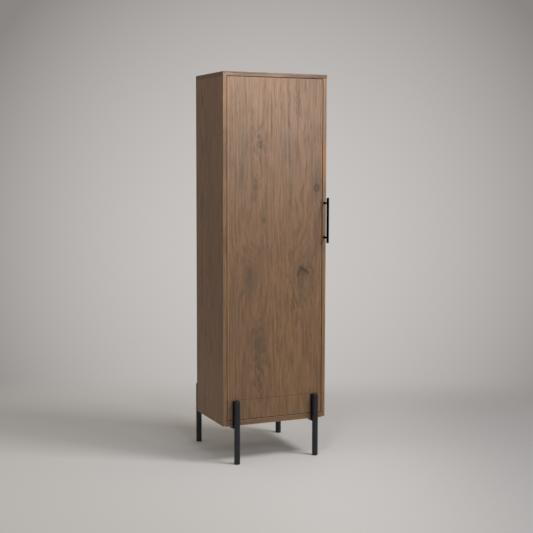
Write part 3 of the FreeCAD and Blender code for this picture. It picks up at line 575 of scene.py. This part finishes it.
class CABINET_OT_boards(bpy.types.Operator):
    """Stain and lacquer every board of the body and the door"""
    bl_idname = "cabinet.boards"
    bl_label = "Boards"

    def execute(self, context):
        # Door and lower panel are cut from one sheet, and so are the stile and the block below it.
        # The sheet's right and top edges aren't rubbed, so that corner lies 20 mm out of the way,
        # and so does the strip's left edge
        corners = moved((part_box("apron_panel")[0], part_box("door_panel")[1]), ((0, 0, 0), (20, 0, 20)))
        sheet = dict(corners=corners, grain="front", seed=0.37, pith=(104, -130, 0),
                     second_pith=(-92, -140, 0), knots=DOOR_KNOTS, strokes=DOOR_STROKES, gold=0.22)
        # The door's edges are drawn widest and lightest, which paints the bright highlight along its left edge
        dress(stained_oak("door", rubbed=1.5, worn=1.0, **sheet), "door_panel")
        dress(stained_oak("apron", worn=0.38, **sheet), "apron_panel")
        strip = moved((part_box("right_corner_block")[0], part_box("door_stile")[1]), ((-20, 0, 0), (0, 0, 0)))
        dress(stained_oak("stile", strip, "front", (330, -190, 0), 4.3, gold=1.5, worn=0.55, strength=0.7),
              "door_stile", "right_corner_block")
        # Each board is cut from its own part of the log, which its seed gives
        for seed, (name, grain, pith, look) in enumerate(BOARDS):
            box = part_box(name)
            rubbed_and_highlight_box = moved(box, NO_RUB_OR_HIGHLIGHT[name]) if name in NO_RUB_OR_HIGHLIGHT else box
            dark_line_box = moved(box, DARK_LINE_EDGES[name]) if name in DARK_LINE_EDGES else None
            dress(stained_oak(name, rubbed_and_highlight_box, grain, pith, 1.3 + seed, strokes=EDGE_STROKES.get(name, ()),
                              dark_line_box=dark_line_box, **look), name)
        dress(finish("turned_beech"), "panel_dowels")
        return {"FINISHED"}


# Shapes

def add_piece(mesh, material, body, slot, *nodes):
    """Put a finished mesh in the scene, under its own name, in place of the frame's nodes."""
    mesh.materials.clear()
    mesh.materials.append(finish(material))
    piece = bpy.data.objects.new(mesh.name, mesh)
    bpy.context.scene.collection.objects.link(piece)
    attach(piece, body)
    if nodes:
        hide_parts(*nodes)


def middle_of(low, high):
    """The middle between two corners, and the radius of a round piece that fills them in x."""
    return (low + high) / 2, (high.x - low.x) / 2


def round_profile(radius, low, high, round_low, round_high, steps=5):
    """Half outline of a round bar with rounded ends, as (radius, height) from axis to axis."""
    lower, upper = [], []
    for step in range(steps + 1):
        turn = math.pi / 2 * step / steps
        lower.append((radius - round_low * (1 - math.sin(turn)), low + round_low * (1 - math.cos(turn))))
        upper.append((radius - round_high * (1 - math.cos(turn)), high - round_high * (1 - math.sin(turn))))
    return [(0.0, low)] + lower + upper + [(0.0, high)]


def turned(name, profile, places, sides):
    """Turn a half outline about each place's axis, into one mesh. A place is a point and a way."""
    shape = bmesh.new()
    for point, way in places:
        point, way = Vector(point), Vector(way).normalized()
        across = way.orthogonal().normalized()
        aside = way.cross(across)
        spokes = [across * math.cos(2 * math.pi * i / sides) + aside * math.sin(2 * math.pi * i / sides)
                  for i in range(sides)]
        rings = []
        for radius, height in profile:
            middle = point + way * height
            rings.append([shape.verts.new(middle + spoke * radius) for spoke in spokes] if radius
                         else [shape.verts.new(middle)])
        for lower, upper in zip(rings, rings[1:]):
            for i in range(sides):
                j = (i + 1) % sides
                corners = [lower[i % len(lower)], lower[j % len(lower)], upper[j % len(upper)],
                           upper[i % len(upper)]]
                shape.faces.new(list(dict.fromkeys(corners)))
    for face in shape.faces:
        face.smooth = True
    mesh = bpy.data.meshes.new(name)
    shape.to_mesh(mesh)
    shape.free()
    # Only the rims of flat ends meet at more than this
    mesh.set_sharp_from_angle(angle=math.radians(42))
    return mesh


def solids_of(node):
    """The corner points of each separate solid of a node, in the order of its mesh."""
    shape = bmesh.new()
    shape.from_mesh(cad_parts[node].data)
    bmesh.ops.remove_doubles(shape, verts=shape.verts, dist=0.005 * MM)
    seen, solids = set(), []
    for start in shape.verts:
        if start in seen:
            continue
        seen.add(start)
        waiting, found = [start], []
        while waiting:
            corner = waiting.pop()
            found.append(corner.co.copy())
            for edge in corner.link_edges:
                other = edge.other_vert(corner)
                if other not in seen:
                    seen.add(other)
                    waiting.append(other)
        solids.append(found)
    shape.free()
    return solids


def corners_of(points):
    return (Vector([min(p[axis] for p in points) for axis in range(3)]),
            Vector([max(p[axis] for p in points) for axis in range(3)]))


def fastener_of(points):
    """Where a screw's head is, which way it goes in, and its radii, its head's depth and its length."""
    low, high = corners_of(points)
    size = high - low
    axis = max(range(3), key=lambda i: size[i])
    middle = (low + high) / 2

    def off_axis(point):
        apart = point - middle
        apart[axis] = 0.0
        return apart.length

    def reach(at, slack=0.2 * MM):
        return max(off_axis(p) for p in points if abs(p[axis] - at) < slack)

    at_low, at_high = reach(low[axis]), reach(high[axis])
    head_at, sign = (low[axis], 1) if at_low > at_high else (high[axis], -1)
    head, shank = max(at_low, at_high), min(at_low, at_high)
    # A straight head keeps its width over more than 0.3 mm, and a countersunk one tapers at once
    wide = [abs(p[axis] - head_at) for p in points if off_axis(p) > head - 0.1 * MM]
    straight = max(wide) > 0.3 * MM
    place = middle.copy()
    place[axis] = head_at
    way = Vector((0, 0, 0))
    way[axis] = sign
    return dict(place=place, way=way, head=head, shank=shank, foot=head if straight else shank,
                depth=max(wide) if straight else head - shank, length=size[axis])


def screw_places(screws):
    """A loose point for each screw, with the way it goes in, for the tree that repeats its shape."""
    mesh = bpy.data.meshes.new("screw_places")
    mesh.from_pydata([tuple(screw["place"]) for screw in screws], [], [])
    facing = mesh.attributes.new("way", "FLOAT_VECTOR", "POINT")
    for i, screw in enumerate(screws):
        facing.data[i].vector = screw["way"]
    return mesh


def grown(name, mesh, tree, **inputs):
    """Run a tree of geometry nodes on a mesh and keep the result as a plain mesh."""
    seed = bpy.data.objects.new("seed", mesh)
    bpy.context.scene.collection.objects.link(seed)
    modifier = seed.modifiers.new("repeat", "NODES")
    modifier.node_group = tree
    for item in tree.interface.items_tree:
        if item.item_type == "SOCKET" and item.in_out == "INPUT" and item.name in inputs:
            modifier[item.identifier] = inputs[item.name]
    graph = bpy.context.evaluated_depsgraph_get()
    graph.update()
    result = bpy.data.meshes.new_from_object(seed.evaluated_get(graph))
    result.name = name
    bpy.data.objects.remove(seed)
    return result


def repeated(tree, given, smooth, **placing):
    """End a tree with a shape repeated on points, as real faces in the given material."""
    placed = add_node(tree, "GeometryNodeInstanceOnPoints", placing)
    real = add_node(tree, "GeometryNodeRealizeInstances", {"Geometry": placed})
    faces = add_node(tree, "GeometryNodeSetShadeSmooth", {"Geometry": real, "Shade Smooth": smooth})
    done = add_node(tree, "GeometryNodeSetMaterial", {"Geometry": faces, "Material": given["Material"]})
    add_node(tree, "NodeGroupOutput", {"Geometry": done})
    return tree


def screw_tree():
    """A screw with a cross recess on each point: head, recess and shank, facing the point's way."""
    tree, given = new_group(
        "cross recess screws",
        {"Geometry": ("Geometry",), "Float": ("Head", "Foot", "Depth", "Shank", "Length", "Recess"),
         "Material": ("Material",)}, {"Geometry": ("Geometry",)}, "GeometryNodeTree")
    head = add_node(tree, "GeometryNodeMeshCone", {"Vertices": 24, "Radius Top": given["Foot"],
                                                   "Radius Bottom": given["Head"], "Depth": given["Depth"]})
    # The recess has two arms, each 0.24 of the head's radius broad. The boxes that cut them are 1.1
    # heads deep and stand half outside the head, so the recess ends a little past its middle
    width = add_node(tree, MATH, {0: given["Head"], 1: 2.0}, "MULTIPLY")
    long = add_node(tree, MATH, {0: width, 1: given["Recess"]}, "MULTIPLY")
    narrow = add_node(tree, MATH, {0: given["Head"], 1: 0.24}, "MULTIPLY")
    deep = add_node(tree, MATH, {0: given["Depth"], 1: 1.1}, "MULTIPLY")
    arms = []
    for x, y in ((long, narrow), (narrow, long)):
        size = add_node(tree, "ShaderNodeCombineXYZ", {"X": x, "Y": y, "Z": deep})
        arms.append(add_node(tree, "GeometryNodeMeshCube", {"Size": size}))
    cut = add_node(tree, "GeometryNodeMeshBoolean", {"Mesh 1": head, "Mesh 2": arms}, "DIFFERENCE")
    # The shank starts a tenth of a head's depth behind the head, where the board hides the gap
    rest = add_node(tree, MATH, {0: given["Length"], 1: deep}, "SUBTRACT")
    shank = add_node(tree, "GeometryNodeMeshCylinder", {"Vertices": 16, "Radius": given["Shank"],
                                                        "Depth": rest})
    lift = add_node(tree, MATH, {0: rest, 1: 0.5, 2: deep}, "MULTIPLY_ADD")
    offset = add_node(tree, "ShaderNodeCombineXYZ", {"Z": lift})
    shank = add_node(tree, "GeometryNodeTransform", {"Geometry": shank, "Translation": offset})
    whole = add_node(tree, "GeometryNodeJoinGeometry", {0: [cut, shank]})
    way = add_node(tree, "GeometryNodeInputNamedAttribute", {"Name": "way"}, data_type="FLOAT_VECTOR")
    turn = add_node(tree, "FunctionNodeAlignRotationToVector", {"Vector": way}, axis="Z")
    return repeated(tree, given, False, Points=given["Geometry"], Instance=whole, Rotation=turn)


def weld_tree():
    """A rippled weld bead along each line: overlapping drops of metal, each a little different."""
    tree, given = new_group(
        "weld bead",
        {"Geometry": ("Geometry",), "Float": ("Radius", "Pitch"), "Int": ("Seed",),
         "Material": ("Material",)}, {"Geometry": ("Geometry",)}, "GeometryNodeTree")
    line = add_node(tree, "GeometryNodeMeshToCurve", {"Mesh": given["Geometry"]})
    points = add_node(tree, "GeometryNodeResampleCurve", {"Curve": line, "Length": given["Pitch"]},
                      mode="LENGTH")
    drop = add_node(tree, "GeometryNodeMeshIcoSphere", {"Radius": given["Radius"], "Subdivisions": 2})
    # Sockets 2 and 3 are the least and the most that a number may be
    spread = add_node(tree, "FunctionNodeRandomValue", {2: 0.85, 3: 1.1, "Seed": given["Seed"]},
                      data_type="FLOAT")
    return repeated(tree, given, True, Points=points, Instance=drop, Scale=spread)


class CABINET_OT_legs(bpy.types.Operator):
    """Turn the four leg tubes with their rounded rims, and the glides under them"""
    bl_idname = "cabinet.legs"
    bl_label = "Legs"

    def execute(self, context):
        sizes = context.scene.cabinet_hardware
        for node in LEGS:
            low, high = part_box(node)
            middle, radius = middle_of(low, high)
            profile = round_profile(radius, low.z, high.z, round_low=0.3 * MM, round_high=sizes.rim_rounding)
            tube = turned(node + "_tube", profile, [((middle.x, middle.y, 0), UP)], sides=56)
            add_piece(tube, "black_powder_coated_steel", "carcass", "black_steel", node)
        places = []
        for points in solids_of("foot_glides"):
            middle, radius = middle_of(*corners_of(points))
            places.append(((middle.x, middle.y, 0), UP))
        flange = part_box("front_left_leg")[0].z
        profile = round_profile(radius, 0.0, flange, round_low=sizes.foot_rounding, round_high=0.4 * MM)
        add_piece(turned("leg_glides", profile, places, sides=56), "moulded_black_nylon", "carcass",
                  "black_plastic", "foot_glides")
        return {"FINISHED"}


class CABINET_OT_handle(bpy.types.Operator):
    """Turn the handle's bar, and its posts with flared ends"""
    bl_idname = "cabinet.handle"
    bl_label = "Handle"

    def execute(self, context):
        sizes = context.scene.cabinet_hardware
        low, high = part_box("handle_bar")
        axis, radius = middle_of(low, high)
        profile = round_profile(radius, low.z, high.z, sizes.bar_rounding, sizes.bar_rounding)
        add_piece(turned("handle_bar_turned", profile, [((axis.x, axis.y, 0), UP)], sides=48),
                  "black_lacquered_steel", "door", "black_steel", "handle_bar")
        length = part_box("door_stile")[0].y - axis.y
        flare = sizes.post_flare
        # A flare is 2.2 times as long as it is wide
        rise, steps = 2.2 * flare, 6
        for node in POSTS:
            middle, radius = middle_of(*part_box(node))
            profile = [(0.0, 0.0), (radius, 0.0), (radius, length - rise)]
            for step in range(1, steps + 1):
                turn = math.pi / 2 * step / steps
                profile.append((radius + flare * (1 - math.cos(turn)), length - rise * (1 - math.sin(turn))))
            profile.append((0.0, length))
            post = turned(node + "_turned", profile, [((axis.x, axis.y, middle.z), (0, 1, 0))], sides=32)
            add_piece(post, "black_lacquered_steel", "door", "black_steel", node)
        return {"FINISHED"}


class CABINET_OT_screws(bpy.types.Operator):
    """Cut a cross recess into every screw and bolt that shows"""
    bl_idname = "cabinet.screws"
    bl_label = "Screws"

    def execute(self, context):
        tree = screw_tree()
        recess = context.scene.cabinet_hardware.recess_share
        zinc, brass = ("zinc_plated_steel", "zinc_steel"), ("bronzed_brass", "hinge_brass")
        for body, (material, slot), nodes in (
                ("door", zinc, ("handle_screws", "strike_screw")),
                ("door", brass, ("door_leaf_screws",)),
                ("carcass", brass, ("fixed_leaf_screws",)),
                ("carcass", zinc, ("catch_screws", "bracket_screws", "rail_screws", "apron_screws",
                                   "leg_bolts", "spacer_bolts"))):
            for node in nodes:
                screws = [fastener_of(points) for points in solids_of(node)]
                first = screws[0]
                mesh = grown(node + "_recessed", screw_places(screws), tree, Head=first["head"],
                             Foot=first["foot"], Depth=first["depth"], Shank=first["shank"],
                             Length=first["length"], Recess=recess, Material=finish(material))
                add_piece(mesh, material, body, slot, node)
        return {"FINISHED"}


class CABINET_OT_fittings(bpy.types.Operator):
    """Turn the shelf pins with rounded tips and the soft domed bumpers of the door"""
    bl_idname = "cabinet.fittings"
    bl_label = "Fittings"

    def execute(self, context):
        tip = context.scene.cabinet_hardware.tip_rounding
        places = []
        for points in solids_of("shelf_pins"):
            low, high = corners_of(points)
            middle = (low + high) / 2
            inner, outer = sorted((low.x, high.x), key=abs)
            places.append(((inner, middle.y, middle.z), (outer - inner, 0, 0)))
        profile = round_profile((high.z - low.z) / 2, 0.0, high.x - low.x, round_low=tip,
                                round_high=0.4 * MM, steps=4)
        add_piece(turned("shelf_pins_turned", profile, places, sides=24), "zinc_plated_steel", "carcass",
                  "zinc_steel", "shelf_pins")
        places = []
        for points in solids_of("door_bumpers"):
            low, high = corners_of(points)
            middle, radius = middle_of(low, high)
            places.append(((middle.x, low.y, middle.z), (0, 1, 0)))
        height = high.y - low.y
        profile = round_profile(radius, 0.0, height, round_low=0.1 * MM, round_high=0.8 * height, steps=6)
        add_piece(turned("door_bumpers_domed", profile, places, sides=32), "clear_polyurethane", "door",
                  "soft_bumper", "door_bumpers")
        return {"FINISHED"}


class CABINET_OT_welds(bpy.types.Operator):
    """Lay the weld beads between the leg tubes, their flat bars and the rear spacers"""
    bl_idname = "cabinet.welds"
    bl_label = "Welds"

    def execute(self, context):
        sizes = context.scene.cabinet_hardware
        drop = sizes.bead_width / 2
        corners, lines = [], []
        # Down both sides of each front tube, where it is 0.52 of its radius off its middle
        for side in ("left", "right"):
            tube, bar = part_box(f"front_{side}_leg"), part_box(f"front_{side}_leg_bar")
            middle, radius = middle_of(*tube)
            for out in (-0.52 * radius, 0.52 * radius):
                lines.append((len(corners), len(corners) + 1))
                corners += [(middle.x + out, tube[1].y - 0.35 * drop, bar[0].z + 2 * drop),
                            (middle.x + out, tube[1].y - 0.35 * drop, tube[1].z - 3 * drop)]
        steps = 28
        for points in solids_of("rear_spacers"):
            low, high = corners_of(points)
            middle, radius = middle_of(low, high)
            first = len(corners)
            for step in range(steps):
                turn = 2 * math.pi * step / steps
                corners.append((middle.x + radius * math.cos(turn), high.y - 0.6 * drop,
                                middle.z + radius * math.sin(turn)))
                lines.append((first + step, first + (step + 1) % steps))
        seams = bpy.data.meshes.new("weld_seams")
        seams.from_pydata(corners, lines, [])
        material = "black_powder_coated_steel"
        beads = grown("weld_beads", seams, weld_tree(), Radius=drop, Pitch=sizes.bead_pitch, Seed=7,
                      Material=finish(material))
        add_piece(beads, material, "carcass", "black_steel")
        return {"FINISHED"}


class CABINET_OT_steel(bpy.types.Operator):
    """Powder-coat the legs, rails and handle, and plate the fittings"""
    bl_idname = "cabinet.steel"
    bl_label = "Steel"

    def execute(self, context):
        for material, nodes in {
                "black_powder_coated_steel": LEGS + (
                    "front_left_leg_bar", "front_right_leg_bar", "left_leg_rail", "right_leg_rail",
                    "leg_gussets", "rear_spacers"),
                "black_lacquered_steel": POSTS + ("handle_bar",),
                "moulded_black_nylon": ("foot_glides", "catch_housing"),
                "zinc_plated_steel": (
                    "cam_bolts", "cam_discs", "apron_screws", "handle_screws", "catch_screws",
                    "catch_strike", "strike_screw", "wall_bracket", "bracket_screws", "leg_bolts",
                    "spacer_bolts", "rail_screws", "shelf_pins"),
                "bronzed_brass": (
                    "upper_hinge_fixed_leaf", "lower_hinge_fixed_leaf", "upper_hinge_door_leaf",
                    "lower_hinge_door_leaf", "upper_hinge_pin", "lower_hinge_pin", "hinge_washers",
                    "fixed_leaf_screws", "door_leaf_screws"),
                "sintered_ferrite": ("catch_magnet",),
                "clear_polyurethane": ("door_bumpers",)}.items():
            dress(finish(material), *nodes)
        return {"FINISHED"}


# Stage

# Softboxes: place, the point they face, width and height in m, power in W and tint. The key lights
# the floor and the front from the right, the next lifts the door, and the last the body's top edge
SOFTBOXES = {
    "key_softbox": ((2.24, -2.42, 4.5), (0.0, -0.1, 0.8), (1.3, 1.3), 106, "#ffffff"),
    "front_softbox": ((1.0, -2.3, 1.82), (0.0, -0.2, 1.6), (0.6, 0.6), 14.6, "#e9efff"),
    "top_softbox": ((-0.24, -0.8, 2.26), (-0.24, -0.2, 2.08), (0.3, 0.2), 9.8, "#eef3ff"),
}


def studio_bowl():
    """A round floor that turns up into a wall at its rim, in one seamless sheet. Sizes are in m."""
    flat_radius, bend_radius, wall_height, steps, sides = 6.5, 1.5, 7.0, 8, 96
    profile = [(radius, 0.0) for radius in (1.0, 2.5, 4.5, flat_radius)]
    for step in range(1, steps + 1):
        turn = math.pi / 2 * step / steps
        profile.append((flat_radius + bend_radius * math.sin(turn), bend_radius * (1 - math.cos(turn))))
    profile.append((flat_radius + bend_radius, wall_height))
    shape = bmesh.new()
    rings = [[shape.verts.new((radius * math.cos(2 * math.pi * i / sides),
                               radius * math.sin(2 * math.pi * i / sides), height)) for i in range(sides)]
             for radius, height in profile]
    shape.faces.new(rings[0])
    for inner, outer in zip(rings, rings[1:]):
        for i in range(sides):
            shape.faces.new((inner[i - 1], outer[i - 1], outer[i], inner[i]))
    for face in shape.faces:
        face.smooth = True
    mesh = bpy.data.meshes.new("studio_bowl")
    shape.to_mesh(mesh)
    shape.free()
    return mesh


def backdrop_paint(settings):
    """Matt painted backdrop: a floor that takes shadows, and a wall that fades from its middle.

    The paint has no gloss, so the floor shows the cabinet's soft shadow and no reflection of it.
    Behind and to the right the floor is painted darker, as painted shade. The far part shows its
    own colour to the eye, in metal and through glass, and lights nothing; that colour is a painted
    wash of light, brightest in its middle and dusky at its edges.
    """
    material, tree = new_material("matt_painted_backdrop")
    place = add_node(tree, "ShaderNodeTexCoord").outputs["Object"]
    start = Vector(settings.wash_from)
    aim = (Vector(settings.wash_to) - start).normalized()
    right = aim.cross(UP).normalized()
    apart = add_node(tree, VECTORS, {0: place, 1: start}, "SUBTRACT")
    along = add_node(tree, VECTORS, {0: apart, 1: aim}, "DOT_PRODUCT")
    along = add_node(tree, MATH, {0: along, 1: 1.0}, "MAXIMUM")
    foot = add_node(tree, VECTORS, {0: aim, "Scale": along}, "SCALE")
    off = add_node(tree, VECTORS, {0: apart, 1: foot}, "DISTANCE")
    ratio = add_node(tree, MATH, {0: off, 1: along}, "DIVIDE")
    square = add_node(tree, MATH, {0: ratio, 1: 2.0}, "POWER")
    fade = add_node(tree, RANGE, {"Value": square, "From Max": settings.wash_spread ** 2})
    flat = add_node(tree, VECTORS, {0: place, 1: (1, 1, 0)}, "MULTIPLY")
    away = add_node(tree, VECTORS, {0: flat}, "LENGTH")
    sideways = add_node(tree, VECTORS, {0: place, 1: right}, "DOT_PRODUCT")

    # Where one tone gives way to the next: by the ratio off the wash's middle, and in m away from
    # the cabinet, along the wash and to the right
    outside, around, behind, deeper, beside, dim = [
        add_node(tree, RANGE, {"Value": value, "From Min": low, "From Max": high}, **SMOOTH)
        for value, low, high in ((ratio, 0.42, 1.1), (away, 1.9, 3.2), (along, 5.9, 6.9),
                                 (along, 4.95, 5.55), (sideways, 0.0, 0.35), (sideways, 0.2, 1.55))]
    # Painted light: the wall glows brightest in the wash's middle and goes dusky towards its edges
    wall = layered(tree, settings.wall_colour, [(fade, 1.0, settings.dusk_colour),
                                                (outside, 1.0, settings.far_colour)])
    # Painted shade on the floor: a little darker behind and to the right, darker still far to the right
    back = add_node(tree, MATH, {0: beside, 1: deeper}, "MULTIPLY")
    floor = layered(tree, settings.floor_light, [(back, 1.0, settings.floor_back_painted_shade),
                                                 (dim, 1.0, settings.floor_right_painted_shade)])
    paint = add_node(tree, "ShaderNodeBsdfDiffuse", {"Color": floor})
    glow = add_node(tree, "ShaderNodeEmission", {"Color": wall, "Strength": 1.0})
    rays = add_node(tree, "ShaderNodeLightPath").outputs
    seen = rays["Is Camera Ray"]
    for ray in ("Is Glossy Ray", "Is Transmission Ray"):
        seen = add_node(tree, MATH, {0: seen, 1: rays[ray]}, "MAXIMUM")
    hidden = add_node(tree, "ShaderNodeBsdfTransparent")
    far_side = add_node(tree, "ShaderNodeMixShader", {0: seen, 1: hidden, 2: glow})
    # The floor takes shadows near the object, and turns into the wall further off
    beyond = add_node(tree, MATH, {0: around, 1: behind}, "MAXIMUM")
    whole = add_node(tree, "ShaderNodeMixShader", {0: beyond, 1: paint, 2: far_side})
    add_node(tree, "ShaderNodeOutputMaterial", {"Surface": whole})
    return material


class CABINET_OT_stage(bpy.types.Operator):
    """Set the camera, the backdrop and the studio lamps"""
    bl_idname = "cabinet.stage"
    bl_label = "Stage"

    def execute(self, context):
        scene = context.scene
        settings = scene.cabinet_stage
        yaw, pitch, roll = settings.camera_yaw, settings.camera_pitch, settings.camera_roll
        ahead = Vector((math.sin(yaw) * math.cos(pitch), math.cos(yaw) * math.cos(pitch), -math.sin(pitch)))
        right = Vector((math.cos(yaw), -math.sin(yaw), 0.0))
        up = right.cross(ahead)
        columns = (right * math.cos(roll) + up * math.sin(roll),
                   up * math.cos(roll) - right * math.sin(roll), -ahead)
        camera = bpy.data.cameras.new("camera")
        camera.lens = settings.camera_lens
        camera.sensor_width = 36.0
        camera.shift_y = settings.camera_rise
        scene.camera = bpy.data.objects.new("camera", camera)
        turn = Matrix(columns).transposed().to_4x4()
        scene.camera.matrix_world = Matrix.Translation(settings.camera_place) @ turn
        scene.collection.objects.link(scene.camera)

        bowl = bpy.data.objects.new("studio_bowl", studio_bowl())
        bowl.data.materials.append(backdrop_paint(settings))
        scene.collection.objects.link(bowl)
        for name, (place, target, size, power, tint) in SOFTBOXES.items():
            lamp = bpy.data.lights.new(name, "AREA")
            lamp.shape = "RECTANGLE"
            lamp.size, lamp.size_y = size
            lamp.energy = power
            lamp.color = linear(tint)[:3]
            holder = bpy.data.objects.new(name, lamp)
            holder.location = place
            holder.rotation_euler = (Vector(target) - Vector(place)).to_track_quat("-Z", "Y").to_euler()
            holder.visible_camera = False
            scene.collection.objects.link(holder)

        scene.world = bpy.data.worlds.new("studio_air")
        scene.world.use_nodes = True
        air = scene.world.node_tree
        air.nodes.clear()
        sky = add_node(air, "ShaderNodeBackground", {"Color": settings.air,
                                                     "Strength": settings.air_strength})
        add_node(air, "ShaderNodeOutputWorld", {"Surface": sky})
        scene.view_settings.view_transform = "Standard"
        return {"FINISHED"}


class CABINET_PT_pieces(bpy.types.Panel):
    bl_label = "Cabinet"
    bl_idname = "CABINET_PT_pieces"
    bl_space_type = "VIEW_3D"
    bl_region_type = "UI"
    bl_category = "Cabinet"

    def draw(self, context):
        for operator in OPERATORS:
            self.layout.operator(operator.bl_idname)


SETTINGS = {"cabinet_oak": OakSettings, "cabinet_hardware": HardwareSettings, "cabinet_stage": StageSettings}
OPERATORS = (CABINET_OT_stage, CABINET_OT_boards, CABINET_OT_steel, CABINET_OT_legs, CABINET_OT_handle,
             CABINET_OT_screws, CABINET_OT_fittings, CABINET_OT_welds)


def register():
    for name, group in SETTINGS.items():
        bpy.utils.register_class(group)
        setattr(bpy.types.Scene, name, PointerProperty(type=group))
    for made in OPERATORS + (CABINET_PT_pieces,):
        bpy.utils.register_class(made)


def unregister():
    for made in OPERATORS + (CABINET_PT_pieces,):
        bpy.utils.unregister_class(made)
    for name, group in SETTINGS.items():
        delattr(bpy.types.Scene, name)
        bpy.utils.unregister_class(group)


def main():
    register()
    for operator in OPERATORS:
        getattr(bpy.ops.cabinet, operator.bl_idname.split(".")[1])()


if __name__ == "__main__":
    main()
